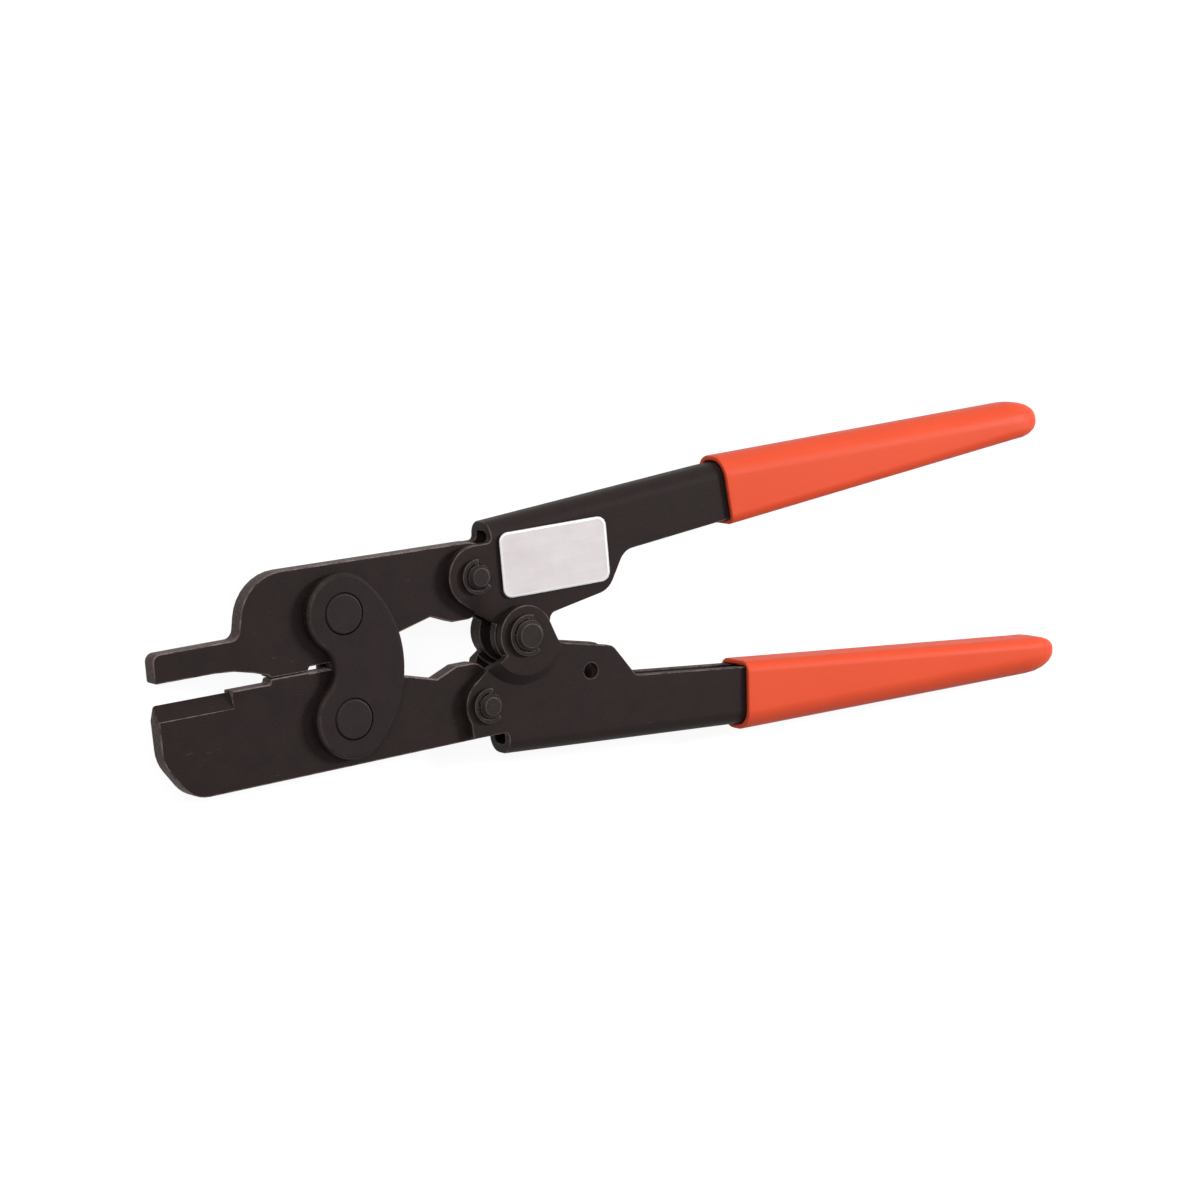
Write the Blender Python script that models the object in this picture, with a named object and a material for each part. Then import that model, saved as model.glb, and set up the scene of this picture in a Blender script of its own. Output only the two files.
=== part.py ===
"""Crimp ring removal tool: a cutting jaw and an anvil jaw worked by compound-leverage handles.

Metres, +Z up. The tool lies on its back, jaws towards -X, front face up. Every piece is laid out
in the tool's own frame: X = 0 at the link rivets, Y = 0 on the centre line between the handles and
Z = 0 at mid thickness. Pieces that swing hang on an empty that stands on their pivot, and the empty
of the whole tool puts the middle of its underside on the world's origin.
"""

import math

import bmesh
import bpy
from mathutils import Matrix, Vector

# Clearances
SEAT_GAP = 0.0003
PIN_GAP = 0.0003
OPEN_PIVOT_GAP = 0.0006

# Thicknesses
JAW_THICKNESS = 0.00476
LINK_THICKNESS = 0.003
SHEET = 0.0025
LABEL_THICKNESS = 0.0005

# Pivots
LINK_RIVET_Y = 0.0135
HANDLE_PIN_X = 0.0392
HANDLE_PIN_Y = 0.0168
HANDLE_PIVOT_X = 0.0508

# Jaws
JAW_TIP_X = -0.0525
ANVIL_BOTTOM = 0.0038
ANVIL_HEIGHT = 0.0074
ANVIL_TIP_RADIUS = 0.0022
ANVIL_THROAT_X = -0.0284
ANVIL_THROAT_RADIUS = 0.0025
ANVIL_ROOT_X = -0.0304
ANVIL_ROOT_RADIUS = 0.0360
TIP_EDGE_RADIUS = 0.0007
SEAM_FRONT_X = -0.0205
SEAM_FRONT_Y = 0.0010
SEAM_BACK_X = -0.0100
SEAM_EDGE = 0.0004
SHOULDER_X = -0.0254
SHOULDER_RADIUS = 0.0124
JAW_EDGE_FRONT_Y = 0.0267
JAW_EDGE_BACK_Y = 0.0253
NECK_GAP_Y = 0.0012
NECK_SLOPE = 0.0006
NUB_RADIUS = 0.0026
NUB_PLAY = 0.0004
NUB_ROOT = 0.0001
NUB_ROOT_DEG = 15
SOCKET_FRONT_DEG = 172
SOCKET_BACK_DEG = 41
NOTCH_BACK_X = 0.0033
NOTCH_BACK_Y = 0.0021
THROAT_X = 0.0265
THROAT_Y = 0.0081
THROAT_RADIUS = 0.0008
TAIL_FLAT_X = 0.0325
TAIL_FLAT_Y = 0.0057
TAIL_FLAT_END = 0.0007
TAIL_NOSE_RADIUS = 0.0040
TAIL_REACH = 0.0073
TAIL_CORNER_DROP = 0.0043
TAIL_LOWER_RADIUS = 0.0060
TAIL_UPPER_RADIUS = 0.0080
LOWER_JAW_BELLY_X = -0.0452
LOWER_JAW_BELLY_RADIUS = 0.0090
LOWER_JAW_NOSE_Y = 0.0163
LOWER_JAW_NOSE_RADIUS = 0.0100
BLADE_TOP = -0.0018
BLADE_ROOT_X = -0.0315
BLADE_BEVEL_DEPTH = 0.0040
BLADE_LAND = 0.0005
BLADE_STEP_Y = -0.00135

# Link plates
LINK_BOSS_RADIUS = 0.0103
LINK_RIVET_RADIUS = 0.00515
LINK_WAIST_X = -0.0039
LINK_BACK_X = 0.0162
RIVET_STAND_OUT = 0.0002
RIVET_CHAMFER = 0.0003

# Handles
LUG_RADIUS = 0.0080
LOWER_LUG_RADIUS = 0.0077
LOWER_JAW_LUG_RADIUS = 0.0076
LOWER_JAW_LUG_SETBACK = 0.0012
LOWER_JAW_LUG_SIDE = 0.0051
LOWER_JAW_LUG_CORNER = 0.0006
LUG_LINE_TURN_DEG = 20
LUG_CORNER_RADIUS = 0.0012
UPPER_LUG_END_DEG = -14.5
LOWER_LUG_END_DEG = -20.5
LOWER_JAW_LUG_END_DEG = 150
WEB_FRONT_SETBACK = 0.0053
WEB_FRONT_Y = 0.0299
LOWER_WEB_FRONT_Y = 0.0308
WEB_KNEE_X = 0.1160
WEB_KNEE_Y = 0.0350
LOWER_WEB_KNEE_Y = 0.0353
WEB_KNEE_RADIUS = 0.150
HANDLE_END_X = 0.2090
WEB_END_Y = 0.0361
EDGE_KNEE_X = 0.0839
EDGE_KNEE_Y = 0.0167
EDGE_END_Y = 0.0292
EDGE_END_RADIUS = 0.0020
EDGE_KNEE_RADIUS = 0.0050
STEP_FOOT_X = 0.0782
STEP_FOOT_Y = 0.0072
STEP_FOOT_RADIUS = 0.0060
LUG_NECK_X = 0.0095
LUG_NECK_Y = 0.0040
LUG_NECK_RADIUS = 0.0015
LOWER_KNEE_RADIUS = 0.0015
LOWER_FOOT_RADIUS = 0.0030
LOWER_NECK_X = 0.0096
LOWER_NECK_Y = 0.0038
LOWER_NECK_RADIUS = 0.0010
LOWER_STEP_SHIFT = 0.0003
OUTER_BEND = 0.0040
INNER_BEND = 0.0015
JOGGLE_RUN = 0.0028
HEAD_ROOM = 0.0020
HANG_HOLE_X = 0.0706
HANG_HOLE_Y = 0.0130
HANG_HOLE_RADIUS = 0.00205

# Pins and their rings
JAW_PIN_RADIUS = 0.0032
PIVOT_PIN_RADIUS = 0.0040
PIN_CHAMFER = 0.0009
GROOVE_DEPTH = 0.0006
RING_THICKNESS = 0.0009
RING_WIDTH = 0.0017
RING_RELIEF = 0.0006
RING_PRONG_DEG = 34
RING_MOUTH_DEG = 124
PIN_END = 0.0011
HEAD_WIDTH = 0.0020
HEAD_THICKNESS = 0.0020
HEAD_CHAMFER = 0.0004

# Grips
GRIP_FIT = 0.0003
GRIP_WALL = 0.0013
UPPER_GRIP_MOUTH_X = 0.1163
LOWER_GRIP_MOUTH_X = 0.1172
GRIP_TIP_SOLID = 0.0121
GRIP_TIP_LENGTH = 0.0100
GRIP_LEAN = 0.08
GRIP_EDGE_RADIUS = 0.0030
CAVITY_EDGE_RADIUS = 0.0004

# Label plate
LABEL_LENGTH = 0.0320
LABEL_HEIGHT = 0.0170
LABEL_X = 0.0624
LABEL_Y = 0.0183
LABEL_CORNER = 0.0025

ARC_STEP = 10
ROUND_SIDES = 40

JAW_FACE = JAW_THICKNESS / 2
LINK_INSIDE = JAW_FACE + SEAT_GAP
LINK_OUTSIDE = LINK_INSIDE + LINK_THICKNESS
FLANGE_INSIDE = JAW_FACE + SEAT_GAP
FLANGE_OUTSIDE = FLANGE_INSIDE + SHEET
PIVOT_LUG_INSIDE = FLANGE_OUTSIDE + SEAT_GAP
PIVOT_LUG_OUTSIDE = PIVOT_LUG_INSIDE + SHEET
WEB_FRONT_X = HANDLE_PIN_X + WEB_FRONT_SETBACK
PIN_SPACING = math.hypot(HANDLE_PIVOT_X - HANDLE_PIN_X, HANDLE_PIN_Y)
JOGGLE_RADIUS = PIN_SPACING - JAW_PIN_RADIUS - HEAD_WIDTH - HEAD_ROOM - JOGGLE_RUN
MARGIN = 0.004
CLEAR_OF_LUGS = PIVOT_LUG_OUTSIDE + MARGIN


def clear_scene():
    for old in list(bpy.data.objects):
        bpy.data.objects.remove(old, do_unlink=True)


def finish(name, colour, roughness, metallic):
    """A plain painted, plated or plastic surface."""
    material = bpy.data.materials.new(name)
    material.use_nodes = True
    shader = material.node_tree.nodes["Principled BSDF"]
    shader.inputs["Base Color"].default_value = (*colour, 1)
    shader.inputs["Roughness"].default_value = roughness
    shader.inputs["Metallic"].default_value = metallic
    material.diffuse_color = (*colour, 1)
    return material


def arc(centre, radius, first, last):
    """Points on a circle from the first angle to the last, in degrees."""
    steps = max(2, round(abs(last - first) / ARC_STEP))
    angles = [math.radians(first + (last - first) * i / steps) for i in range(steps + 1)]
    return [(centre[0] + radius * math.cos(a), centre[1] + radius * math.sin(a)) for a in angles]


def rounded(corners):
    """The closed outline, with an arc at each corner that gives a radius as its third number."""
    outline = []
    for i, corner in enumerate(corners):
        here = Vector(corner[:2])
        if len(corner) == 2:
            outline.append(tuple(here))
            continue
        radius = corner[2]
        back = (Vector(corners[i - 1][:2]) - here).normalized()
        ahead = (Vector(corners[(i + 1) % len(corners)][:2]) - here).normalized()
        half = back.angle(ahead) / 2
        middle = here + (back + ahead).normalized() * (radius / math.sin(half))
        start = here + back * (radius / math.tan(half)) - middle
        stop = here + ahead * (radius / math.tan(half)) - middle
        sweep = math.atan2(start.x * stop.y - start.y * stop.x, start.dot(stop))
        first = math.degrees(math.atan2(start.y, start.x))
        outline += arc(middle, radius, first, first + math.degrees(sweep))
    return outline


def placed(outline, side):
    """An outline drawn above the centre line, on its own side of it."""
    return [(x, side * y) for x, y in outline]


def prism(outline, low, high):
    """The outline as a plate from one height to another."""
    bm = bmesh.new()
    face = bm.faces.new([bm.verts.new((x, y, low)) for x, y in outline])
    raised = bmesh.ops.extrude_face_region(bm, geom=[face])["geom"]
    top = [v for v in raised if isinstance(v, bmesh.types.BMVert)]
    bmesh.ops.translate(bm, verts=top, vec=(0, 0, high - low))
    bmesh.ops.recalc_face_normals(bm, faces=bm.faces)
    return bm


def turned(profile, centre):
    """The (radius, height) profile turned about the upright axis through the centre."""
    bm = bmesh.new()
    verts = [bm.verts.new((radius, 0, z)) for radius, z in profile]
    edges = [bm.edges.new(pair) for pair in zip(verts, verts[1:])]
    bmesh.ops.spin(
        bm, geom=verts + edges, axis=(0, 0, 1), cent=(0, 0, 0), steps=ROUND_SIDES,
        angle=2 * math.pi, use_merge=True,
    )
    bmesh.ops.remove_doubles(bm, verts=bm.verts, dist=1e-7)
    bmesh.ops.recalc_face_normals(bm, faces=bm.faces)
    bmesh.ops.translate(bm, verts=bm.verts, vec=(*centre, 0))
    return bm


def drill(centre, radius, reach):
    """A round cutter through the whole thickness."""
    return turned([(0, reach), (radius, reach), (radius, -reach), (0, -reach)], centre)


def solid(name, bm, material, pivot):
    """A named piece that hangs on its pivot's empty, with its mesh in the tool's frame."""
    mesh = bpy.data.meshes.new(name)
    bm.to_mesh(mesh)
    bm.free()
    mesh.materials.append(material)
    mesh.shade_smooth()
    mesh.set_sharp_from_angle(angle=math.radians(30))
    piece = bpy.data.objects.new(name, mesh)
    bpy.context.scene.collection.objects.link(piece)
    piece.parent = pivot
    piece.location = -Vector(pivot["place"])
    return piece


def helper(name, bm, piece):
    """A cutter or a joined shape that moves with its piece and isn't a piece itself."""
    mesh = bpy.data.meshes.new(name)
    bm.to_mesh(mesh)
    bm.free()
    shape = bpy.data.objects.new(name, mesh)
    bpy.context.scene.collection.objects.link(shape)
    shape.parent = piece
    shape.hide_render = True
    shape.display_type = "WIRE"
    return shape


def combine(piece, name, bm, operation="DIFFERENCE"):
    """Cuts the shape from the piece, or joins it to it."""
    modifier = piece.modifiers.new(name, "BOOLEAN")
    modifier.operation = operation
    modifier.solver = "EXACT"
    modifier.object = helper(f"{piece.name}_{name}", bm, piece)


def pivot_empty(name, place, parent):
    """An empty on a pivot's axis. Turning it about Z swings what hangs on it."""
    empty = bpy.data.objects.new(name, None)
    bpy.context.scene.collection.objects.link(empty)
    empty["place"] = (place[0], place[1], 0.0)
    if parent is not None:
        empty.parent = parent
        empty.location = Vector(empty["place"]) - Vector(parent["place"])
    return empty


def jaw_back(notch):
    """Corners of a jaw from the seam's end, along the inner edges and round the tail, to the shoulder."""
    tail_x = HANDLE_PIN_X + TAIL_REACH
    return notch + [
        (THROAT_X, THROAT_Y, THROAT_RADIUS),
        (TAIL_FLAT_X, TAIL_FLAT_Y, THROAT_RADIUS),
        (HANDLE_PIN_X - TAIL_FLAT_END, TAIL_FLAT_Y, TAIL_NOSE_RADIUS),
        (tail_x, HANDLE_PIN_Y - TAIL_CORNER_DROP, TAIL_LOWER_RADIUS),
        (tail_x, JAW_EDGE_BACK_Y, TAIL_UPPER_RADIUS),
    ]


def upper_jaw_outline():
    nub = [
        (SEAM_BACK_X, SEAT_GAP / 2),
        (SEAM_BACK_X + NECK_SLOPE, NECK_GAP_Y, SEAM_EDGE),
        (-NUB_RADIUS - NUB_ROOT, NECK_GAP_Y, SEAM_EDGE),
        *arc((0, 0), NUB_RADIUS, 180 - NUB_ROOT_DEG, 360 + NUB_ROOT_DEG),
        (NOTCH_BACK_X, NOTCH_BACK_Y),
    ]
    return rounded([
        (SEAM_FRONT_X, SEAT_GAP / 2),
        *jaw_back(nub),
        (SHOULDER_X, JAW_EDGE_FRONT_Y, SHOULDER_RADIUS),
        (ANVIL_THROAT_X, ANVIL_BOTTOM + ANVIL_HEIGHT, ANVIL_THROAT_RADIUS),
        (JAW_TIP_X, ANVIL_BOTTOM + ANVIL_HEIGHT, ANVIL_TIP_RADIUS),
        (JAW_TIP_X, ANVIL_BOTTOM, TIP_EDGE_RADIUS),
        (ANVIL_ROOT_X, ANVIL_BOTTOM, ANVIL_ROOT_RADIUS),
        (SEAM_FRONT_X - SEAM_EDGE * 2, SEAM_FRONT_Y),
    ])


def lower_jaw_outline():
    """Drawn above the centre line, as the upper jaw is."""
    socket = NUB_RADIUS + NUB_PLAY
    notch = [
        (SEAM_BACK_X, SEAT_GAP / 2),
        (SEAM_BACK_X + SEAM_EDGE / 2, SEAM_EDGE),
        *arc((0, 0), socket, SOCKET_FRONT_DEG, SOCKET_BACK_DEG),
        (NOTCH_BACK_X, NOTCH_BACK_Y),
    ]
    return rounded([
        (SEAM_FRONT_X, SEAT_GAP / 2),
        *jaw_back(notch),
        (LOWER_JAW_BELLY_X, JAW_EDGE_FRONT_Y, LOWER_JAW_BELLY_RADIUS),
        (JAW_TIP_X, LOWER_JAW_NOSE_Y, LOWER_JAW_NOSE_RADIUS),
        (JAW_TIP_X, -BLADE_TOP, TIP_EDGE_RADIUS),
        (BLADE_ROOT_X, -BLADE_TOP),
        (BLADE_ROOT_X, -BLADE_STEP_Y),
        (SEAM_FRONT_X - SEAM_EDGE, -BLADE_STEP_Y),
    ])


def bevel_cutter(side):
    """The wedge that grinds one face of the blade, on the front face (1) or the rear face (-1)."""
    land = BLADE_LAND / 2
    rise = (JAW_FACE - land) / BLADE_BEVEL_DEPTH
    past = MARGIN / 4
    wedge = [
        (BLADE_TOP + past, land - past * rise),
        (BLADE_TOP - BLADE_BEVEL_DEPTH - past, JAW_FACE + past * rise),
        (BLADE_TOP + past, JAW_FACE + past * rise),
    ]
    bm = prism([(y, side * z) for y, z in wedge], JAW_TIP_X - MARGIN, BLADE_ROOT_X)
    bmesh.ops.rotate(
        bm, verts=bm.verts, cent=(0, 0, 0),
        matrix=Matrix(((0, 0, 1), (1, 0, 0), (0, 1, 0))),
    )
    bmesh.ops.recalc_face_normals(bm, faces=bm.faces)
    return bm


def jaw(name, outline, side, material, pivot):
    piece = solid(name, prism(placed(outline, side), -JAW_FACE, JAW_FACE), material, pivot)
    combine(piece, "rivet_hole", drill((0, side * LINK_RIVET_Y), LINK_RIVET_RADIUS + PIN_GAP, MARGIN))
    pin = (HANDLE_PIN_X, side * HANDLE_PIN_Y)
    combine(piece, "pin_hole", drill(pin, JAW_PIN_RADIUS + PIN_GAP, MARGIN))
    return piece


def link_outline():
    """Two bosses joined by one large arc behind and a waist in front."""
    across = LINK_BOSS_RADIUS
    reach = LINK_BACK_X
    back_radius = (LINK_RIVET_Y**2 + reach**2 - across**2) / (2 * (reach - across))
    back_x = reach - back_radius
    front = LINK_WAIST_X
    waist_radius = (front**2 + LINK_RIVET_Y**2 - across**2) / (2 * (across + front))
    waist_x = front - waist_radius
    meet_back = math.degrees(math.atan2(LINK_RIVET_Y, -back_x))
    meet_front = math.degrees(math.atan2(LINK_RIVET_Y, -waist_x))
    upper = (0, LINK_RIVET_Y)
    lower = (0, -LINK_RIVET_Y)
    outline = (
        arc((back_x, 0), back_radius, -meet_back, meet_back)
        + arc(upper, across, meet_back, 180 + meet_front)[1:]
        + arc((waist_x, 0), waist_radius, meet_front, -meet_front)[1:]
        + arc(lower, across, 180 - meet_front, 360 - meet_back)[1:-1]
    )
    return outline


def link_plate(name, low, material, pivot):
    piece = solid(name, prism(link_outline(), low, low + LINK_THICKNESS), material, pivot)
    for label, side in (("upper_hole", 1), ("lower_hole", -1)):
        hole = drill((0, side * LINK_RIVET_Y), LINK_RIVET_RADIUS + PIN_GAP, LINK_OUTSIDE + MARGIN)
        combine(piece, label, hole)


def link_rivet(name, side, material, pivot):
    """A plain rivet ground nearly flush with both link plates."""
    end = LINK_OUTSIDE + RIVET_STAND_OUT
    profile = [
        (0, end),
        (LINK_RIVET_RADIUS - RIVET_CHAMFER, end),
        (LINK_RIVET_RADIUS, end - RIVET_CHAMFER),
        (LINK_RIVET_RADIUS, RIVET_CHAMFER - end),
        (LINK_RIVET_RADIUS - RIVET_CHAMFER, -end),
        (0, -end),
    ]
    solid(name, turned(profile, (0, side * LINK_RIVET_Y)), material, pivot)


def web_y(x, side):
    """Height of the outer face of a handle's web, which bows out a little more on the lower handle."""
    front = WEB_FRONT_Y if side > 0 else LOWER_WEB_FRONT_Y
    knee = WEB_KNEE_Y if side > 0 else LOWER_WEB_KNEE_Y
    if x < WEB_KNEE_X:
        share = (x - WEB_FRONT_X) / (WEB_KNEE_X - WEB_FRONT_X)
        return front + share * (knee - front)
    share = (x - WEB_KNEE_X) / (HANDLE_END_X - WEB_KNEE_X)
    return knee + share * (WEB_END_Y - knee)


def edge_y(x):
    """Height of the free edges of a handle's flanges, behind their step."""
    share = (x - EDGE_KNEE_X) / (HANDLE_END_X - EDGE_KNEE_X)
    return EDGE_KNEE_Y + share * (EDGE_END_Y - EDGE_KNEE_Y)


def flange_outline(step, lug_radius, lug_end, jaw_lug, jaw_lug_radius, jaw_lug_end, corners=()):
    """The side of a handle, clear of the web's outer face, which the block already has."""
    pivot_lug = (HANDLE_PIVOT_X, 0)
    pin_line = math.degrees(math.atan2(-HANDLE_PIN_Y, HANDLE_PIVOT_X - HANDLE_PIN_X))
    slant = pin_line + 270 + LUG_LINE_TURN_DEG
    normal = Vector((math.cos(math.radians(slant)), math.sin(math.radians(slant))))
    off_line = normal.dot(Vector(pivot_lug) - Vector(jaw_lug)) - jaw_lug_radius
    meet = slant - math.degrees(math.acos(-off_line / lug_radius))
    return rounded([
        (WEB_FRONT_X, WEB_END_Y + MARGIN),
        (HANDLE_END_X, WEB_END_Y + MARGIN),
        (HANDLE_END_X, EDGE_END_Y, EDGE_END_RADIUS),
        *step,
        *arc(pivot_lug, lug_radius, lug_end, meet - 360),
        *arc(jaw_lug, jaw_lug_radius, slant, jaw_lug_end),
        *corners,
        (WEB_FRONT_X, HANDLE_PIN_Y + LUG_RADIUS, LUG_CORNER_RADIUS),
    ])


def bend_web(bm, half, radius, height):
    """Rounds the two long edges where the flanges turn out of the web."""
    def on_web(vert):
        return abs(abs(vert.co.z) - half) < 1e-6 and abs(vert.co.y) > height(vert.co.x) - 3e-4
    edges = [
        e for e in bm.edges
        if all(on_web(v) for v in e.verts) and abs(e.verts[0].co.z - e.verts[1].co.z) < 1e-6
    ]
    bmesh.ops.bevel(
        bm, geom=edges, offset=radius, offset_type="OFFSET", segments=5, profile=0.5,
        affect="EDGES", material=-1,
    )


def bent_block(side, wall, bend, half):
    """A long block under the web's line, a wall's thickness in, with the web's two edges rounded."""
    def height(x):
        return web_y(x, side) - wall
    front = WEB_FRONT_X - LUG_RADIUS * 3
    end = HANDLE_END_X + MARGIN
    below = -LUG_RADIUS - MARGIN
    outline = rounded([
        (front, height(front)),
        (WEB_KNEE_X, height(WEB_KNEE_X), WEB_KNEE_RADIUS),
        (end, height(end)),
        (end, below),
        (front, below),
    ])
    bm = prism(placed(outline, side), -half, half)
    bend_web(bm, half, bend, height)
    return bm


def shape_side(piece, outline, side):
    combine(piece, "side", prism(placed(outline, side), -CLEAR_OF_LUGS, CLEAR_OF_LUGS), "INTERSECT")


def open_handle(piece, side, pivot_hole):
    combine(piece, "channel", bent_block(side, SHEET, INNER_BEND, FLANGE_INSIDE))
    reach = CLEAR_OF_LUGS
    pin = (HANDLE_PIN_X, side * HANDLE_PIN_Y)
    combine(piece, "jaw_pin_hole", drill(pin, JAW_PIN_RADIUS + PIN_GAP, reach))
    combine(piece, "pivot_hole", drill((HANDLE_PIVOT_X, 0), pivot_hole, reach))


def upper_handle(material, pivot):
    step = [
        (EDGE_KNEE_X, EDGE_KNEE_Y, EDGE_KNEE_RADIUS),
        (STEP_FOOT_X, STEP_FOOT_Y, STEP_FOOT_RADIUS),
        (HANDLE_PIVOT_X + LUG_NECK_X, LUG_NECK_Y, LUG_NECK_RADIUS),
    ]
    jaw_lug = (HANDLE_PIN_X, HANDLE_PIN_Y)
    outline = flange_outline(step, LUG_RADIUS, UPPER_LUG_END_DEG, jaw_lug, LUG_RADIUS, 90)
    piece = solid("upper_handle", bent_block(1, 0, OUTER_BEND, FLANGE_OUTSIDE), material, pivot)
    shape_side(piece, outline, 1)
    open_handle(piece, 1, PIVOT_PIN_RADIUS + OPEN_PIVOT_GAP)


def joggle(outer, radius):
    """A round raised patch about the pivot, whose sloping rim runs down past the flange's face."""
    overrun = 1.2
    run = JOGGLE_RUN * overrun
    low = outer - (SHEET + SEAT_GAP) * overrun
    profile = [(0, outer), (radius, outer), (radius + run, low), (radius + run, -low),
               (radius, -outer), (0, -outer)]
    return turned(profile, (HANDLE_PIVOT_X, 0))


def lower_handle(material, pivot):
    """Its pivot lugs are set outwards by one sheet, so that the upper handle's lugs lie between them."""
    step = [
        (EDGE_KNEE_X + LOWER_STEP_SHIFT, EDGE_KNEE_Y - LOWER_STEP_SHIFT, LOWER_KNEE_RADIUS),
        (STEP_FOOT_X - LOWER_STEP_SHIFT, STEP_FOOT_Y + LOWER_STEP_SHIFT, LOWER_FOOT_RADIUS),
        (HANDLE_PIVOT_X + LOWER_NECK_X, LOWER_NECK_Y, LOWER_NECK_RADIUS),
    ]
    corner_x = HANDLE_PIN_X - LOWER_JAW_LUG_SIDE
    outline = flange_outline(
        step, LOWER_LUG_RADIUS, LOWER_LUG_END_DEG, (HANDLE_PIN_X + LOWER_JAW_LUG_SETBACK, HANDLE_PIN_Y),
        LOWER_JAW_LUG_RADIUS, LOWER_JAW_LUG_END_DEG,
        [(corner_x, HANDLE_PIN_Y + LUG_RADIUS, LOWER_JAW_LUG_CORNER)],
    )
    piece = solid("lower_handle", bent_block(-1, 0, OUTER_BEND, FLANGE_OUTSIDE), material, pivot)
    hang = (HANG_HOLE_X, -HANG_HOLE_Y)
    combine(piece, "hang_hole", drill(hang, HANG_HOLE_RADIUS, CLEAR_OF_LUGS))
    combine(piece, "raised", joggle(PIVOT_LUG_OUTSIDE, JOGGLE_RADIUS), "UNION")
    shape_side(piece, outline, -1)
    combine(piece, "joggle", joggle(PIVOT_LUG_INSIDE, JOGGLE_RADIUS - SHEET / 2))
    open_handle(piece, -1, PIVOT_PIN_RADIUS + PIN_GAP)


def pin(name, radius, seat, place, material, pivot):
    """A headed pin. Its head is behind, and a ring in its groove holds it in front."""
    ring_low = seat + SEAT_GAP
    ring_high = ring_low + RING_THICKNESS
    end = ring_high + SEAT_GAP + PIN_END
    under_head = -seat - SEAT_GAP
    head = radius + HEAD_WIDTH
    head_end = under_head - HEAD_THICKNESS
    profile = [
        (0, end),
        (radius - PIN_CHAMFER, end),
        (radius, end - PIN_CHAMFER),
        (radius, ring_high + SEAT_GAP),
        (radius - GROOVE_DEPTH, ring_high + SEAT_GAP),
        (radius - GROOVE_DEPTH, ring_low - SEAT_GAP / 2),
        (radius, ring_low - SEAT_GAP / 2),
        (radius, under_head),
        (head, under_head),
        (head, head_end + HEAD_CHAMFER),
        (head - HEAD_CHAMFER, head_end),
        (0, head_end),
    ]
    solid(name, turned(profile, place), material, pivot)


def ring(name, radius, seat, place, facing, material, pivot):
    """A retaining ring: an open loop whose three prongs snap into the pin's groove."""
    inner = radius - GROOVE_DEPTH + SEAT_GAP
    relief = inner + RING_RELIEF
    first = facing + RING_MOUTH_DEG / 2
    last = facing + 360 - RING_MOUTH_DEG / 2
    middle = facing + 180
    half = RING_PRONG_DEG / 2
    loop = arc(place, inner + RING_WIDTH, first, last)
    loop += arc(place, inner, last, last - half)
    loop += arc(place, relief, last - half, middle + half)
    loop += arc(place, inner, middle + half, middle - half)
    loop += arc(place, relief, middle - half, first + half)
    loop += arc(place, inner, first + half, first)
    low = seat + SEAT_GAP
    solid(name, prism(loop, low, low + RING_THICKNESS), material, pivot)


def grip_section(bm, x, spread, edge_radius, shrink, side):
    """One ring of corners round a handle, square to its length, rounded where the sheet is bent."""
    along = min(x, HANDLE_END_X + GRIP_FIT)
    top = web_y(along, side) + spread
    bottom = edge_y(along) - spread
    middle = (top + bottom) / 2
    half_height = shrink * (top - bottom) / 2
    half_width = shrink * (FLANGE_OUTSIDE + spread)
    bend = shrink * (OUTER_BEND + spread)
    edge = shrink * edge_radius
    corners = [
        (half_width, half_height, bend), (-half_width, half_height, bend),
        (-half_width, -half_height, edge), (half_width, -half_height, edge),
    ]
    return [
        bm.verts.new((x - GRIP_LEAN * rise * shrink, side * (middle + rise), z))
        for z, rise in rounded(corners)
    ]


def grip(name, side, mouth_x, material, pivot):
    """A dipped sleeve, open at its mouth and closed round the end of its handle."""
    bm = bmesh.new()
    outside = GRIP_FIT + GRIP_WALL
    round_start = HANDLE_END_X + GRIP_TIP_SOLID - GRIP_TIP_LENGTH
    turns = [math.radians(a) for a in (75, 60, 45, 30, 15)]
    stations = [(round_start + GRIP_TIP_LENGTH * math.sin(a), math.cos(a)) for a in turns]
    stations += [(round_start, 1), (mouth_x, 1)]
    rings = [grip_section(bm, x, outside, GRIP_EDGE_RADIUS, shrink, side) for x, shrink in stations]
    rings.append(grip_section(bm, mouth_x, GRIP_FIT, CAVITY_EDGE_RADIUS, 1, side))
    rings.append(grip_section(bm, HANDLE_END_X + GRIP_FIT, GRIP_FIT, CAVITY_EDGE_RADIUS, 1, side))
    for near, far in zip(rings, rings[1:]):
        for i in range(len(near)):
            j = (i + 1) % len(near)
            bm.faces.new((near[i], near[j], far[j], far[i]))
    bm.faces.new(rings[0])
    bm.faces.new(rings[-1])
    bmesh.ops.recalc_face_normals(bm, faces=bm.faces)
    solid(name, bm, material, pivot)


def label_plate(material, pivot):
    left = LABEL_X - LABEL_LENGTH / 2
    right = LABEL_X + LABEL_LENGTH / 2
    low = LABEL_Y - LABEL_HEIGHT / 2
    high = LABEL_Y + LABEL_HEIGHT / 2
    outline = rounded([
        (left, low, LABEL_CORNER), (right, low, LABEL_CORNER),
        (right, high, LABEL_CORNER), (left, high, LABEL_CORNER),
    ])
    seat = FLANGE_OUTSIDE + SEAT_GAP
    solid("label_plate", prism(outline, seat, seat + LABEL_THICKNESS), material, pivot)


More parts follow.
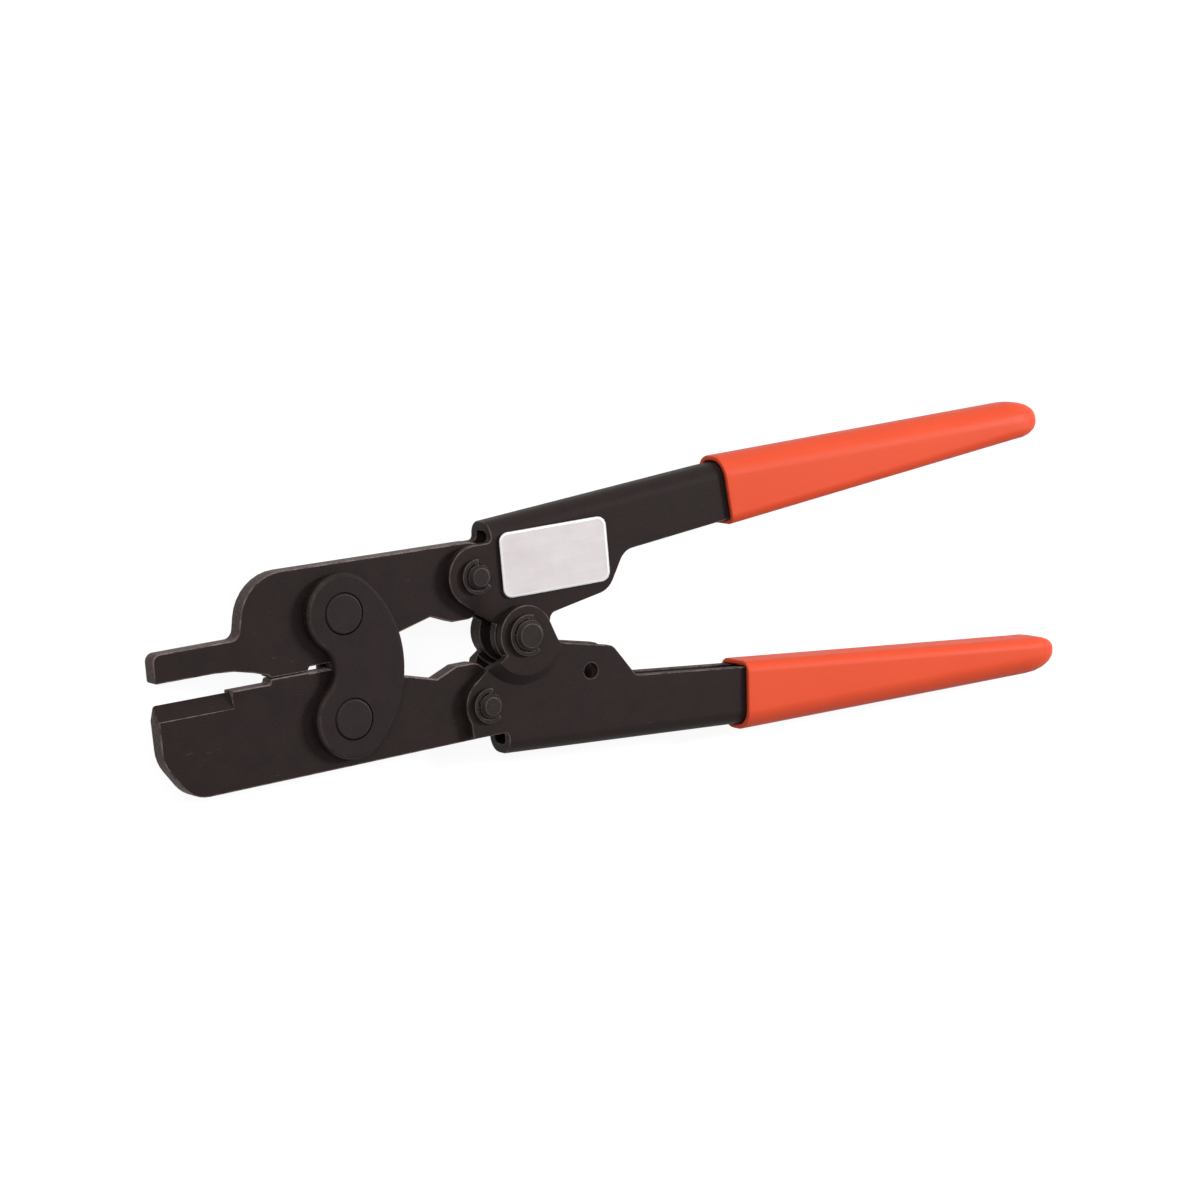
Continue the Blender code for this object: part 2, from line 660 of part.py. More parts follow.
def stand_on_origin(tool):
    """Puts the middle of the underside of all the pieces on the world's origin."""
    bpy.context.view_layer.update()
    graph = bpy.context.evaluated_depsgraph_get()
    corners = []
    for piece in bpy.data.objects:
        if piece.type == "MESH" and not piece.hide_render:
            seen = piece.evaluated_get(graph)
            corners += [seen.matrix_world @ Vector(corner) for corner in seen.bound_box]
    low = Vector([min(corner[k] for corner in corners) for k in range(3)])
    high = Vector([max(corner[k] for corner in corners) for k in range(3)])
    tool.location = (-(low.x + high.x) / 2, -(low.y + high.y) / 2, -low.z)


def build():
    clear_scene()
    black_steel = finish("black_oxide_steel", (0.070, 0.062, 0.060), 0.45, 0.75)
    pin_steel = finish("pin_steel", (0.085, 0.078, 0.076), 0.40, 0.85)
    vinyl = finish("orange_vinyl", (0.72, 0.16, 0.03), 0.42, 0.0)
    aluminium = finish("label_aluminium", (0.78, 0.77, 0.76), 0.35, 0.6)

    tool = pivot_empty("tool", (0, 0), None)
    upper_swing = pivot_empty("upper_jaw_pivot", (0, LINK_RIVET_Y), tool)
    lower_swing = pivot_empty("lower_jaw_pivot", (0, -LINK_RIVET_Y), tool)
    upper_lever = pivot_empty("upper_handle_pivot", (HANDLE_PIN_X, HANDLE_PIN_Y), upper_swing)
    lower_lever = pivot_empty("lower_handle_pivot", (HANDLE_PIN_X, -HANDLE_PIN_Y), lower_swing)

    link_plate("front_link_plate", LINK_INSIDE, black_steel, tool)
    link_plate("rear_link_plate", -LINK_OUTSIDE, black_steel, tool)
    link_rivet("upper_link_rivet", 1, pin_steel, tool)
    link_rivet("lower_link_rivet", -1, pin_steel, tool)

    jaw("upper_jaw", upper_jaw_outline(), 1, black_steel, upper_swing)
    blade = jaw("lower_jaw", lower_jaw_outline(), -1, black_steel, lower_swing)
    combine(blade, "front_bevel", bevel_cutter(1))
    combine(blade, "rear_bevel", bevel_cutter(-1))

    upper_handle(black_steel, upper_lever)
    lower_handle(black_steel, lower_lever)
    upper_pin = (HANDLE_PIN_X, HANDLE_PIN_Y)
    lower_pin = (HANDLE_PIN_X, -HANDLE_PIN_Y)
    pivot = (HANDLE_PIVOT_X, 0)
    pin("upper_jaw_pin", JAW_PIN_RADIUS, FLANGE_OUTSIDE, upper_pin, pin_steel, upper_lever)
    pin("lower_jaw_pin", JAW_PIN_RADIUS, FLANGE_OUTSIDE, lower_pin, pin_steel, lower_lever)
    pin("handle_pivot_pin", PIVOT_PIN_RADIUS, PIVOT_LUG_OUTSIDE, pivot, pin_steel, lower_lever)
    ring("upper_jaw_pin_ring", JAW_PIN_RADIUS, FLANGE_OUTSIDE, upper_pin, 22, pin_steel, upper_lever)
    ring("lower_jaw_pin_ring", JAW_PIN_RADIUS, FLANGE_OUTSIDE, lower_pin, 12, pin_steel, lower_lever)
    ring("handle_pivot_ring", PIVOT_PIN_RADIUS, PIVOT_LUG_OUTSIDE, pivot, 6, pin_steel, lower_lever)

    grip("upper_grip", 1, UPPER_GRIP_MOUTH_X, vinyl, upper_lever)
    grip("lower_grip", -1, LOWER_GRIP_MOUTH_X, vinyl, lower_lever)
    label_plate(aluminium, upper_lever)
    stand_on_origin(tool)


build()
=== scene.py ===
"""Crimp ring removal tool: black steel jaws and link plates, two pressed steel handles and dipped grips.

Metres, +Z up. The tool lies on its back with its jaws towards -X and its front face up.
"""

import math

import bmesh
import bpy
from mathutils import Matrix, Vector


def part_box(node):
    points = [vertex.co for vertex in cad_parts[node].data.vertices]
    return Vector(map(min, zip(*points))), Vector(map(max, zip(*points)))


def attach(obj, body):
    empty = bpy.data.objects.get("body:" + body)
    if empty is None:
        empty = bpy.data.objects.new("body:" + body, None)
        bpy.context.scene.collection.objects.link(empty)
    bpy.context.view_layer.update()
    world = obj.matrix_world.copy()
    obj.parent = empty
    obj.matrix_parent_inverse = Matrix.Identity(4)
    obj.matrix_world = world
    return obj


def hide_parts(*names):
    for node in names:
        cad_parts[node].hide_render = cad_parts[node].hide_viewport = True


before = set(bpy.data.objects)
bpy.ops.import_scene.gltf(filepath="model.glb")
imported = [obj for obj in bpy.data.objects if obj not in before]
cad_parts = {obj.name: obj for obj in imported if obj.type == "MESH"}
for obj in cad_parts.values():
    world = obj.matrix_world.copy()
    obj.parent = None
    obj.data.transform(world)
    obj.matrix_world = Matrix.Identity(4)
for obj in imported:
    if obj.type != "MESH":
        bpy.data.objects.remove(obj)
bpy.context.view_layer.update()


# The two jaws: blanked from 3/16 in plate, with their arrises eased, and blackened. The lower one
# is ground on both faces to a blade, which is left sharp. Both swing on the link plates' rivets.
class Value:
    """A socket of a material. Arithmetic on it adds Math nodes."""

    def __init__(self, tree, socket):
        self.tree = tree
        self.socket = socket

    def maths(self, operation, first, second):
        node = self.tree.nodes.new("ShaderNodeMath")
        node.operation = operation
        for slot, value in zip(node.inputs, (first, second)):
            if isinstance(value, Value):
                self.tree.links.new(value.socket, slot)
            else:
                slot.default_value = value
        return Value(self.tree, node.outputs[0])

    def __add__(self, other):
        return self.maths("ADD", self, other)

    def __radd__(self, other):
        return self.maths("ADD", other, self)

    def __sub__(self, other):
        return self.maths("SUBTRACT", self, other)

    def __mul__(self, other):
        return self.maths("MULTIPLY", self, other)

    def within(self, low, high):
        """0 below the low value, 1 above the high one."""
        clamped = self.maths("MINIMUM", (self - low) * (1 / (high - low)), 1.0)
        return self.maths("MAXIMUM", clamped, 0.0)


class Finish:
    """A material with one shader, whose nodes all come from node()."""

    def __init__(self, name, roughness, metallic=0.0):
        self.material = bpy.data.materials.new(name)
        self.material.use_nodes = True
        self.tree = self.material.node_tree
        self.shader = self.tree.nodes["Principled BSDF"]
        self.shader.inputs["Roughness"].default_value = roughness
        self.shader.inputs["Metallic"].default_value = metallic

    def node(self, kind, settings, values, output=0):
        node = self.tree.nodes.new(kind)
        for name, setting in settings.items():
            setattr(node, name, setting)
        for name, value in values.items():
            if isinstance(value, Value):
                self.tree.links.new(value.socket, node.inputs[name])
            else:
                node.inputs[name].default_value = value
        return Value(self.tree, node.outputs[output])

    def place(self, stretch=(1, 1, 1)):
        where = self.node("ShaderNodeTexCoord", {}, {}, "Object")
        return self.node("ShaderNodeMapping", {}, {"Vector": where, "Scale": stretch})

    def cloud(self, per_metre, detail, roughness=0.55, stretch=(1, 1, 1)):
        """Soft noise from 0 to 1."""
        return self.node(
            "ShaderNodeTexNoise", {"noise_dimensions": "3D"},
            {"Vector": self.place(stretch), "Scale": per_metre, "Detail": detail, "Roughness": roughness},
        )

    def painted(self, name):
        """A mark that is painted on the mesh."""
        return self.node("ShaderNodeAttribute", {"attribute_name": name}, {}, "Fac")

    def blend(self, share, first, second):
        """The first colour where the share is 0, the second where it is 1."""
        first, second = (end if isinstance(end, Value) else (*end, 1.0) for end in (first, second))
        return self.node("ShaderNodeMix", {"data_type": "RGBA"}, {0: share, 6: first, 7: second}, 2)

    def bump(self, height, depth, strength=1.0):
        return self.node("ShaderNodeBump", {}, {"Height": height, "Distance": depth, "Strength": strength})

    def feed(self, **links):
        """Links values to the shader's sockets and gives back the material."""
        for name, value in links.items():
            self.tree.links.new(value.socket, self.shader.inputs[name.replace("_", " ")])
        return self.material


# The near-white of a painted reflection on the seam between the jaws.
SEAM_GLINT_COLOUR = (0.80, 0.72, 0.70)
OXIDE_DEPTH = 0.00003


def blackened(name, dark, pale, cut, worn_and_sheen, roughness):
    """Oil-blackened steel: cloudy on the flats, with its cut sides in a colour given per finish, paler as
    painted light on the jaws and darker as painted shade on the link plates, and paler arrises, partly
    rubbed wear and partly a painted highlight.
    """
    steel = Finish(name, roughness, metallic=0.05)
    steel.shader.inputs["Specular IOR Level"].default_value = 0.12
    oxide = steel.cloud(190, 4.0).within(0.30, 0.70)
    grain = steel.cloud(2600, 2.0).within(0.36, 0.64)
    flats = steel.blend(oxide * 0.6 + grain * 0.4, dark, pale)
    torn = steel.cloud(1300, 3.0).within(0.40, 0.62)
    # The cut sides take a colour given per finish: paler than the flats on the jaws, as painted light, and
    # darker on the link plates, as painted shade.
    edges = steel.blend(steel.painted("sheared") * (0.35 + torn * 0.65), flats, cut)
    # A painted reflection: a near-white glint on the seam wall of the lower jaw's neck.
    faces = steel.blend(steel.painted("seam_glint") * grain, edges, SEAM_GLINT_COLOUR)
    # The arrises are paler, partly rubbed wear and partly a painted highlight along the edges.
    rubbed_and_sheen = steel.painted("arris") * steel.cloud(420, 4.0).within(0.25, 0.60)
    scuffs = steel.cloud(900, 2.0, stretch=(0.25, 1.6, 1)).within(0.70, 0.78) * 0.35
    return steel.feed(
        Base_Color=steel.blend(rubbed_and_sheen + scuffs * oxide, faces, worn_and_sheen),
        Roughness=roughness + oxide * 0.10 - rubbed_and_sheen * 0.12 + grain * 0.06,
        Normal=steel.bump(grain + steel.cloud(700, 3.0) * 0.8, OXIDE_DEPTH, 0.55),
    )


# The jaws' cut sides are painted far paler than their flats, as painted light, and their arrises paler
# still, partly wear and partly a painted highlight.
plate_steel = blackened(
    "plate_black", (0.0135, 0.0080, 0.0077), (0.0280, 0.0184, 0.0176), (0.122, 0.090, 0.085),
    (0.240, 0.180, 0.166), 0.50,
)


MERGE_WITHIN = 2e-6
FLAT_WITHIN = math.radians(0.4)


def copy_of(node):
    """A CAD node's mesh as whole flat faces, ready to be worked."""
    bm = bmesh.new()
    bm.from_mesh(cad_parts[node].data)
    for edge in bm.edges:
        edge.smooth = True
    bmesh.ops.remove_doubles(bm, verts=bm.verts, dist=MERGE_WITHIN)
    bmesh.ops.dissolve_limit(bm, angle_limit=FLAT_WITHIN, verts=bm.verts, edges=bm.edges)
    return bm


def mark(bm, name, faces, share=lambda point: 1.0):
    """Paints a mark on faces, in full or by place, which the material reads."""
    paint = bm.loops.layers.float.get(name) or bm.loops.layers.float.new(name)
    for face in faces:
        for loop in face.loops:
            loop[paint] = share(loop.vert.co)


def upright(bm):
    """The faces that stand on edge, as a plate's cut sides do."""
    return [face for face in bm.faces if abs(face.normal.z) < 0.2]


def middle(edge):
    return (edge.verts[0].co + edge.verts[1].co) / 2


def ease(bm, radius, least=32, keep=lambda point: False, most=181):
    """Rounds the arrises that bend by so many degrees, and marks the new faces for a paler colour: rubbed
    wear with a painted highlight.
    """
    arrises = [
        edge for edge in bm.edges
        if least < math.degrees(edge.calc_face_angle(0)) < most and not keep(middle(edge))
    ]
    made = bmesh.ops.bevel(
        bm, geom=arrises, offset=radius, offset_type="OFFSET", segments=2, profile=0.5,
        affect="EDGES", clamp_overlap=False, loop_slide=False, material=-1,
    )
    # The rounds are marked for the paler arris colour: rubbed wear with a painted highlight.
    mark(bm, "arris", made["faces"])


def piece_from(name, bm, body, slot, material, *nodes):
    """A finished piece that stands for its CAD node and rides on the same body."""
    mesh = bpy.data.meshes.new(name)
    bmesh.ops.triangulate(bm, faces=[face for face in bm.faces if len(face.verts) > 4])
    for face in bm.faces:
        face.smooth = True
    bm.to_mesh(mesh)
    bm.free()
    mesh.materials.append(material)
    piece = bpy.data.objects.new(name, mesh)
    bpy.context.scene.collection.objects.link(piece)
    weighted = piece.modifiers.new("flat faces stay flat", "WEIGHTED_NORMAL")
    weighted.weight = 100
    weighted.keep_sharp = True
    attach(piece, body)
    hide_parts(*nodes)


rivet_low, rivet_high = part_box("upper_link_rivet")
RIVETS_X = (rivet_low.x + rivet_high.x) / 2
MID_THICKNESS = (rivet_low.z + rivet_high.z) / 2
RIVETS_Y = (rivet_low.y + rivet_high.y) / 2
RIVET_RADIUS = (rivet_high.x - rivet_low.x) / 2
JAW_ARRIS = 0.00032
BLADE_ROOT_LINE = 0.00012
BLADE_HEEL_X = RIVETS_X - 0.0314
BLADE_TOP_Y = -0.0062
BEVEL_ROOT_Y = -0.0050
NECK_FRONT_X = RIVETS_X - 0.0110
NECK_HALF = 0.0015


def on_blade(point):
    """On the ground edge of the lower jaw, which stays sharp."""
    return point.x < BLADE_HEEL_X and point.y > BLADE_TOP_Y


def in_neck(point):
    """On the seam between the jaws, where a bright glint is painted on as a reflection."""
    return NECK_FRONT_X < point.x < RIVETS_X and abs(point.y) < NECK_HALF


upper = copy_of("upper_jaw")
mark(upper, "sheared", upright(upper))
ease(upper, JAW_ARRIS)
piece_from("anvil_jaw", upper, "upper_jaw", "black_oxide_steel", plate_steel, "upper_jaw")
lower = copy_of("lower_jaw")
mark(lower, "sheared", upright(lower))
anvil_side = [face for face in upright(lower) if face.normal.y > 0.5]
# The seam wall of the lower jaw's neck gets a painted reflection, a bright glint.
mark(lower, "seam_glint", [face for face in anvil_side if in_neck(face.calc_center_median())])
ease(lower, BLADE_ROOT_LINE, 20, lambda point: point.y > BEVEL_ROOT_Y, 32)
ease(lower, JAW_ARRIS, 32, on_blade)
piece_from("blade_jaw", lower, "lower_jaw", "black_oxide_steel", plate_steel, "lower_jaw")


# The two link plates: bean-shaped, blanked from 3 mm sheet, with their outer rims rolled over. Two
# rivets through the jaws hold them, ground almost flush, and swell to fill their holes lower down.
LINK_BOSS = 0.0103
LINK_WAIST = -0.0039
LINK_BACK = 0.0162
LINK_ARRIS = 0.0010
ROLLOVER = ((0.12, 1.0), (0.16, 0.52), (0.22, 0.23), (0.50, 0.07))
HOLE_RADIUS = RIVET_RADIUS + 0.0003
HIGHLIGHT_FROM = 0.0010
HIGHLIGHT_OVER = 0.0060
ARC_STEP = 3
TURNED_STEPS = 96
# The link plates' cut sides are painted darker than their flats, as painted shade, and their rolled rims
# lighter, as a painted highlight.
link_steel = blackened(
    "link_black", (0.0152, 0.0096, 0.0093), (0.0304, 0.0205, 0.0199), (0.009, 0.0062, 0.0060),
    (0.058, 0.042, 0.038), 0.52,
)


def arc(centre, radius, first, last):
    """Points round a circle every few degrees, its end points included."""
    steps = max(2, round(abs(last - first) / ARC_STEP))
    angles = [math.radians(first + (last - first) * i / steps) for i in range(steps + 1)]
    return [(centre[0] + radius * math.cos(a), centre[1] + radius * math.sin(a)) for a in angles]


def bean():
    """Two bosses, one long arc behind them and a waist in front, as seen from above."""
    back_radius = (RIVETS_Y**2 + LINK_BACK**2 - LINK_BOSS**2) / (2 * (LINK_BACK - LINK_BOSS))
    waist_radius = (LINK_WAIST**2 + RIVETS_Y**2 - LINK_BOSS**2) / (2 * (LINK_BOSS + LINK_WAIST))
    back = (LINK_BACK - back_radius, 0)
    waist = (LINK_WAIST - waist_radius, 0)
    from_back = math.degrees(math.atan2(RIVETS_Y, -back[0]))
    from_waist = math.degrees(math.atan2(RIVETS_Y, -waist[0]))
    outline = arc(back, back_radius, -from_back, from_back)
    outline += arc((0, RIVETS_Y), LINK_BOSS, from_back, 180 + from_waist)[1:]
    outline += arc(waist, waist_radius, from_waist, -from_waist)[1:]
    outline += arc((0, -RIVETS_Y), LINK_BOSS, 180 - from_waist, 360 - from_back)[1:-1]
    return [(x + RIVETS_X, y) for x, y in outline]


def rim_highlight_share(point):
    """A painted highlight on the rolled rims: full along the waist and the bosses' front, towards the
    jaws' tips, and none further back.
    """
    return min(1.0, max(0.0, (RIVETS_X - point.x - HIGHLIGHT_FROM) / HIGHLIGHT_OVER))


def link_plate(low, high):
    """The plate with its outer rims rolled over step by step and sharp holes for the rivets."""
    bm = bmesh.new()
    ends = [bm.faces.new([bm.verts.new((x, y, low)) for x, y in bean()])]
    raised = bmesh.ops.extrude_face_region(bm, geom=ends, use_keep_orig=True)["geom"]
    ends += [part for part in raised if isinstance(part, bmesh.types.BMFace)]
    bmesh.ops.translate(bm, verts=ends[1].verts[:], vec=(0, 0, high - low))
    bmesh.ops.recalc_face_normals(bm, faces=bm.faces)
    # The cut sides are marked for the finish's dark colour, which is painted shade.
    mark(bm, "sheared", upright(bm))
    for end, inwards in zip(ends, (1, -1)):
        for share, drop in ROLLOVER:
            rolled = bmesh.ops.inset_region(bm, faces=[end], thickness=LINK_ARRIS * share)["faces"]
            outer = {vert for face in rolled for vert in face.verts} - set(end.verts)
            bmesh.ops.translate(bm, verts=list(outer), vec=(0, 0, inwards * LINK_ARRIS * drop))
            # The rolled rims get a painted highlight towards the jaws' tips, which fades out further back.
            mark(bm, "arris", rolled, rim_highlight_share)
    rims = [end.edges[:] for end in ends]
    bmesh.ops.delete(bm, geom=ends, context="FACES_ONLY")
    for side in (1, -1):
        hole = arc((RIVETS_X, side * RIVETS_Y), HOLE_RADIUS, 0, 360 - ARC_STEP)
        rings = [[bm.verts.new((x, y, height)) for x, y in hole] for height in (low, high)]
        for i, (below, above) in enumerate(zip(*rings)):
            bm.faces.new((below, above, rings[1][i - 1], rings[0][i - 1]))
        for rim, ring in zip(rims, rings):
            rim += [bm.edges.get((vert, ring[i - 1])) for i, vert in enumerate(ring)]
    for rim in rims:
        bmesh.ops.triangle_fill(bm, edges=rim, use_beauty=True)
        for edge in rim:
            edge.smooth = False
    bmesh.ops.recalc_face_normals(bm, faces=bm.faces)
    return bm


for node, name in (("front_link_plate", "front_link"), ("rear_link_plate", "rear_link")):
    low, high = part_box(node)
    piece_from(name, link_plate(low.z, high.z), "link", "black_oxide_steel", link_steel, node)


def turned(profile, x, y):
    """A lathe-turned piece: the (radius, height) profile spun about its upright axis."""
    bm = bmesh.new()
    points = [bm.verts.new((radius, 0, height)) for radius, height in profile]
    lines = [bm.edges.new(pair) for pair in zip(points, points[1:])]
    bmesh.ops.spin(
        bm, geom=points + lines, axis=(0, 0, 1), cent=(0, 0, 0), steps=TURNED_STEPS,
        angle=2 * math.pi, use_merge=True,
    )
    bmesh.ops.remove_doubles(bm, verts=bm.verts, dist=1e-7)
    bmesh.ops.recalc_face_normals(bm, faces=bm.faces)
    bmesh.ops.translate(bm, verts=bm.verts, vec=(x, y, 0))
    return bm


rivet_steel = blackened(
    "rivet_black", (0.0175, 0.0120, 0.0118), (0.030, 0.0225, 0.0222), (0.020, 0.015, 0.014),
    (0.050, 0.039, 0.037), 0.46,
)
RIVET_FLAT = 0.0004
RIVET_CHAMFER = 0.0003
RIVET_EDGE = 0.00008
SWELL_FROM = 0.0012
SWELL_TO = 0.0028
SWELL_STEP = 0.0001
for side, node in ((1, "upper_link_rivet"), (-1, "lower_link_rivet")):
    low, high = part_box(node)
    half = (high.z - low.z) / 2
    profile = [(0, half), (RIVET_RADIUS - RIVET_FLAT, half), (RIVET_RADIUS, half - RIVET_CHAMFER)]
    profile += [(RIVET_RADIUS, half - SWELL_FROM), (HOLE_RADIUS, half - SWELL_FROM - SWELL_STEP)]
    profile += [(HOLE_RADIUS, half - SWELL_TO + SWELL_STEP), (RIVET_RADIUS, half - SWELL_TO)]
    profile += [(radius, -height) for radius, height in reversed(profile)]
    standing = [(radius, height + MID_THICKNESS) for radius, height in profile]
    rivet = turned(standing, RIVETS_X, side * RIVETS_Y)
    ease(rivet, RIVET_EDGE)
    piece_from(node.replace("link_", ""), rivet, "link", "pin_steel", rivet_steel, node)


# The two handles: channels pressed from 2.5 mm sheet, open along their inner side, with their lugs
# punched for the pins. The lower one's pivot lugs are set outwards to go round the upper one's.
HANDLE_ARRIS = 0.00028
WEB_HALF = 0.0026
JOGGLE_CREST = 0.0098
JOGGLE_FOOT = 0.0136
LUG_OUTSIDE = 0.0050
FOLD_DEGREES = 25
sheet_steel = blackened(
    "sheet_black", (0.0142, 0.0084, 0.0081), (0.0280, 0.0182, 0.0174), (0.018, 0.0124, 0.0116),
    (0.150, 0.110, 0.102), 0.50,
)
pivot_low, pivot_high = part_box("handle_pivot_pin")
PIVOT_X = (pivot_low.x + pivot_high.x) / 2


def on_joggle(point):
    """On the crest and foot of the set-out part of the lower handle's sides."""
    reach = math.hypot(point.x - PIVOT_X, point.y)
    return JOGGLE_CREST < reach < JOGGLE_FOOT and abs(point.z - MID_THICKNESS) > LUG_OUTSIDE


for node in ("upper_handle", "lower_handle"):
    channel = copy_of(node)
    on_edge = upright(channel)
    mark(channel, "sheared", [
        face for face in on_edge if abs(face.calc_center_median().z - MID_THICKNESS) > WEB_HALF
    ])
    ease(channel, HANDLE_ARRIS, 40, on_joggle)
    for edge in channel.edges:
        folded = math.degrees(edge.calc_face_angle(0)) > FOLD_DEGREES
        edge.smooth = not (folded and on_joggle(middle(edge)))
    piece_from(node + "_channel", channel, node, "black_oxide_steel", sheet_steel, node)


# The three pins on which the handles swing, turned from bar with a flat head behind and a chamfered
# end in front, and the retaining rings that snap into the groove under that end.
pin_steel = blackened(
    "pin_black", (0.0190, 0.0130, 0.0126), (0.034, 0.0250, 0.0240), (0.045, 0.033, 0.031),
    (0.140, 0.105, 0.098), 0.40,
)
PIN_ARRIS = 0.00012
RING_ARRIS = 0.00018
for pin_node, ring_node, body in (
    ("upper_jaw_pin", "upper_jaw_pin_ring", "upper_handle"),
    ("lower_jaw_pin", "lower_jaw_pin_ring", "lower_handle"),
    ("handle_pivot_pin", "handle_pivot_ring", "lower_handle"),
):
    pin = copy_of(pin_node)
    ease(pin, PIN_ARRIS, 30)
    piece_from(pin_node + "_turned", pin, body, "pin_steel", pin_steel, pin_node)
    ring = copy_of(ring_node)
    ease(ring, RING_ARRIS)
    piece_from(ring_node + "_clip", ring, body, "pin_steel", pin_steel, ring_node)


# The label plate: thin bare aluminium with a bright rim, stuck on the upper handle's front flange.
RIM_WIDTH = 0.0006
RIM_RAISED = 0.00006
label = copy_of("label_plate")
front = [face for face in label.faces if face.normal.z > 0.9]
rim = bmesh.ops.inset_region(
    label, faces=front, thickness=RIM_WIDTH, depth=-RIM_RAISED, use_even_offset=True,
)
mark(label, "rim", rim["faces"])
foil = Finish("label_foil", 0.36, metallic=0.35)
brushed = foil.cloud(1500, 2.0, stretch=(0.06, 1.0, 1.0))
dull = foil.cloud(160, 3.0).within(0.3, 0.8)
metal = foil.blend(brushed * 0.5 + dull * 0.5, (0.60, 0.545, 0.55), (0.72, 0.675, 0.68))
foil_material = foil.feed(
    Base_Color=foil.blend(foil.painted("rim"), metal, (0.87, 0.86, 0.87)),
    Roughness=0.34 + brushed * 0.12,
    Normal=foil.bump(brushed, 0.00001, 0.4),
)
piece_from("label_foil_plate", label, "upper_handle", "label_aluminium", foil_material, "label_plate")


# The two grips: soft vinyl sleeves dipped or pushed on over the handles, with a rounded mouth, a
# closed tip and the slight unevenness of a dipped skin. They are cut across to shade evenly.
MOUTH_EDGE = 0.00035
SLICES = 40
vinyl = Finish("orange_vinyl", 0.50)
vinyl.shader.inputs["Specular IOR Level"].default_value = 0.25
drift = vinyl.cloud(35, 2.0).within(0.25, 0.75)
pores = vinyl.cloud(3500, 2.0)
vinyl_material = vinyl.feed(
    Base_Color=vinyl.blend(drift, (0.90, 0.091, 0.031), (0.94, 0.101, 0.035)),
    Roughness=0.48 + drift * 0.06 + pores * 0.06,
    Normal=vinyl.bump(pores, 0.00003, 0.35),
)
for node in ("upper_grip", "lower_grip"):
    sleeve = copy_of(node)
    ease(sleeve, MOUTH_EDGE, 50)
    low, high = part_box(node)
    for step in range(1, SLICES):
        cut = low.x + (high.x - low.x) * step / SLICES
        bmesh.ops.bisect_plane(
            sleeve, geom=sleeve.verts[:] + sleeve.edges[:] + sleeve.faces[:], dist=1e-6,
            plane_co=(cut, 0, 0), plane_no=(1, 0, 0),
        )
    body = node.replace("grip", "handle")
    piece_from(node + "_sleeve", sleeve, body, "orange_vinyl", vinyl_material, node)


# The floor that the tool lies on: plain, white, and shown white to the camera, with the shadow kept.
FLOOR_HALF = 6.0
FLOOR_BELOW = 0.0002
floor_mesh = bpy.data.meshes.new("floor")
ground = bmesh.new()
bmesh.ops.create_grid(ground, x_segments=1, y_segments=1, size=FLOOR_HALF)
ground.to_mesh(floor_mesh)
ground.free()
floor = bpy.data.objects.new("floor", floor_mesh)
bpy.context.scene.collection.objects.link(floor)
floor.location.z = -FLOOR_BELOW
paper = Finish("floor_white", 0.9)
paper.shader.inputs["Specular IOR Level"].default_value = 0.0


def seen(tree):
    """1 for rays from the camera or off gloss or through glass, which show the plain white."""
    path = tree.nodes.new("ShaderNodeLightPath")
    rays = ("Is Camera Ray", "Is Glossy Ray", "Is Transmission Ray")
    camera_ray, glossy_ray, glass_ray = (Value(tree, path.outputs[name]) for name in rays)
    return (camera_ray + glossy_ray + glass_ray).within(0.0, 1.0)


PAPER_GLOW = 1.22
GLOW_SHARE = 0.76
camera_share = seen(paper.tree)
paper.feed(Base_Color=paper.blend(camera_share, (0.30, 0.30, 0.30), (0.90, 0.90, 0.90)))
white = paper.node("ShaderNodeEmission", {}, {"Color": (1, 1, 1, 1), "Strength": PAPER_GLOW})
lit_paper = Value(paper.tree, paper.shader.outputs[0])
shown = paper.node("ShaderNodeMixShader", {}, {0: camera_share * GLOW_SHARE, 1: lit_paper, 2: white})
paper.tree.links.new(shown.socket, paper.tree.nodes["Material Output"].inputs["Surface"])
floor_mesh.materials.append(paper.material)


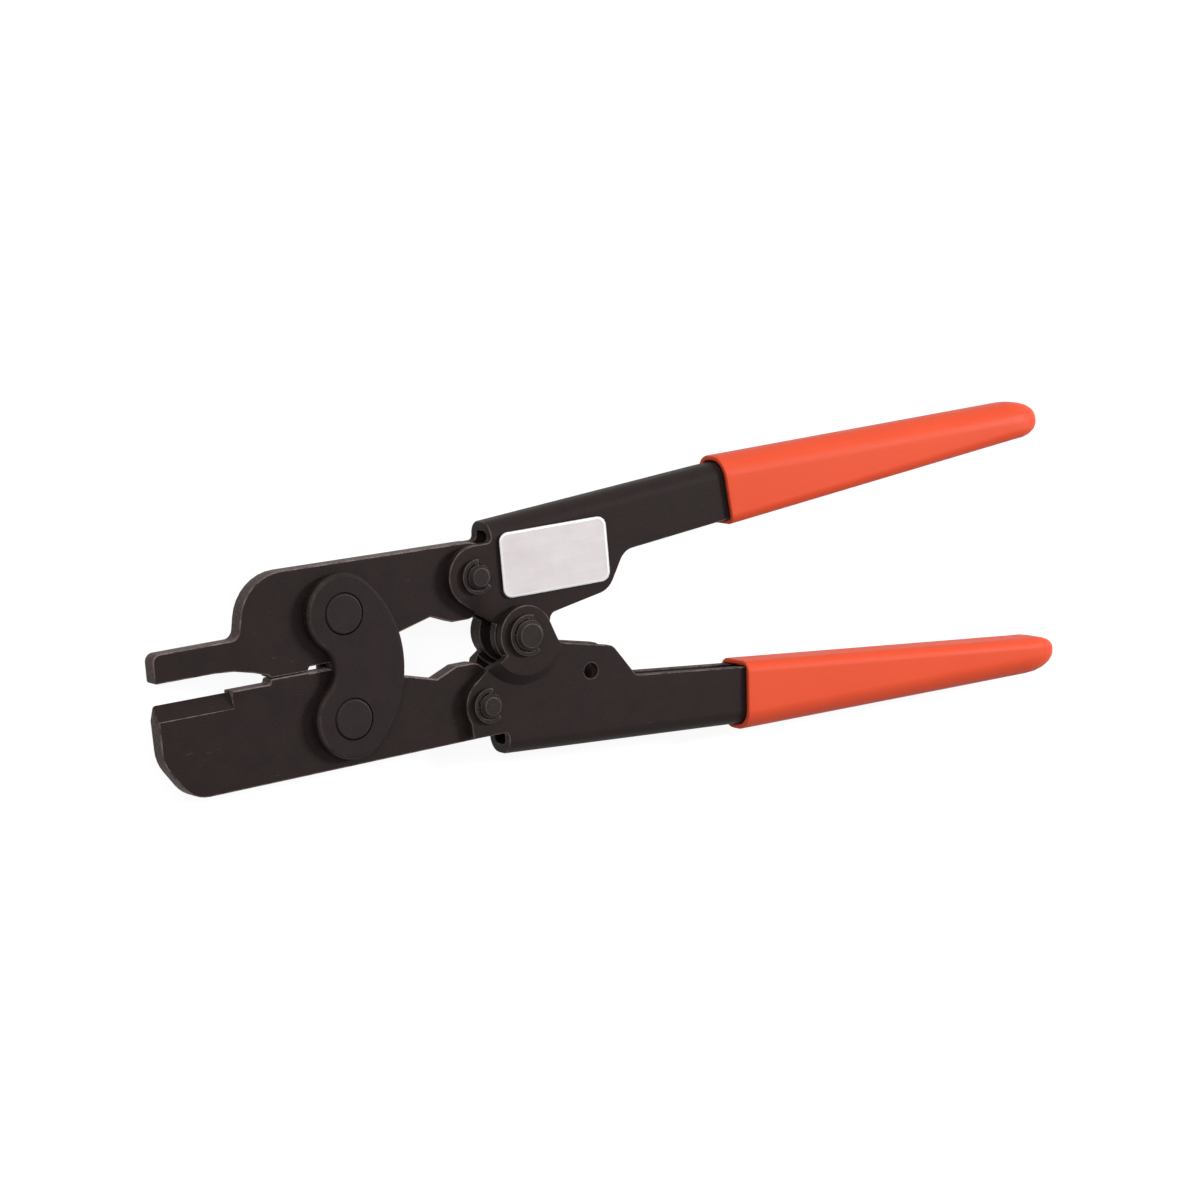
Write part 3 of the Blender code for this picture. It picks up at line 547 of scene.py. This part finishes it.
# The camera: a long lens from the front left and a little above, turned as the photograph is.
LENGTH_TURN = math.radians(-30.8)
RISE = math.radians(9.19)
ROLL = math.radians(-5.09)
DISTANCE = 1.200
SHIFT_X = -0.0660
SHIFT_Y = -0.01623
FOCAL_PIXELS = 4753
PHOTO_PIXELS = 1200
SENSOR_MM = 36
level_back = math.cos(RISE)
back = Vector((math.sin(LENGTH_TURN) * level_back, math.sin(RISE), math.cos(LENGTH_TURN) * level_back))
right = Vector((0, 1, 0)).cross(back).normalized()
up = back.cross(right)
rolled_right = right * math.cos(ROLL) + up * math.sin(ROLL)
rolled_up = up * math.cos(ROLL) - right * math.sin(ROLL)
tool_origin = Vector((RIVETS_X, 0, MID_THICKNESS))
eye = tool_origin - rolled_right * SHIFT_X - rolled_up * SHIFT_Y + back * DISTANCE
lens = bpy.data.cameras.new("camera")
lens.sensor_width = SENSOR_MM
lens.lens = FOCAL_PIXELS / PHOTO_PIXELS * SENSOR_MM
lens.clip_start = 0.05
lens.clip_end = 20
camera = bpy.data.objects.new("camera", lens)
bpy.context.scene.collection.objects.link(camera)
camera.matrix_world = Matrix((
    (rolled_right.x, rolled_up.x, back.x, eye.x),
    (rolled_right.y, rolled_up.y, back.y, eye.y),
    (rolled_right.z, rolled_up.z, back.z, eye.z),
    (0, 0, 0, 1),
))
bpy.context.scene.camera = camera


# The light: three soft panels, above the tool's top edge, at the right and in front, in an
# even pale room that the camera and the steel's gloss see as white.
lit_centre = tool_origin + Vector((0.055, 0, 0))
ROOM_GLOW = 0.12


def panel(name, direction, distance, size, watts):
    """A soft lamp that faces the tool's middle from some way off."""
    lamp = bpy.data.lights.new(name, "AREA")
    lamp.shape = "RECTANGLE"
    lamp.size, lamp.size_y = size
    lamp.energy = watts
    holder = bpy.data.objects.new(name, lamp)
    bpy.context.scene.collection.objects.link(holder)
    holder.location = lit_centre + direction.normalized() * distance
    holder.rotation_euler = direction.to_track_quat("Z", "Y").to_euler()


panel("top_panel", back * 0.55 + rolled_up + rolled_right * 0.1, 1.3, (1.2, 0.5), 4.4)
panel("right_panel", Vector((0.75, 0.20, 0.66)), 1.4, (0.22, 0.35), 12.5)
panel("front_panel", back - rolled_right * 0.10 + rolled_up * 0.25, 1.6, (0.6, 0.5), 6.9)

room = bpy.data.worlds.new("room")
bpy.context.scene.world = room
room.use_nodes = True
sky = room.node_tree.nodes["Background"]
sky.inputs["Color"].default_value = (1, 1, 1, 1)
level = ROOM_GLOW + seen(room.node_tree) * (1 - ROOM_GLOW)
room.node_tree.links.new(level.socket, sky.inputs["Strength"])
bpy.context.scene.view_settings.view_transform = "Standard"
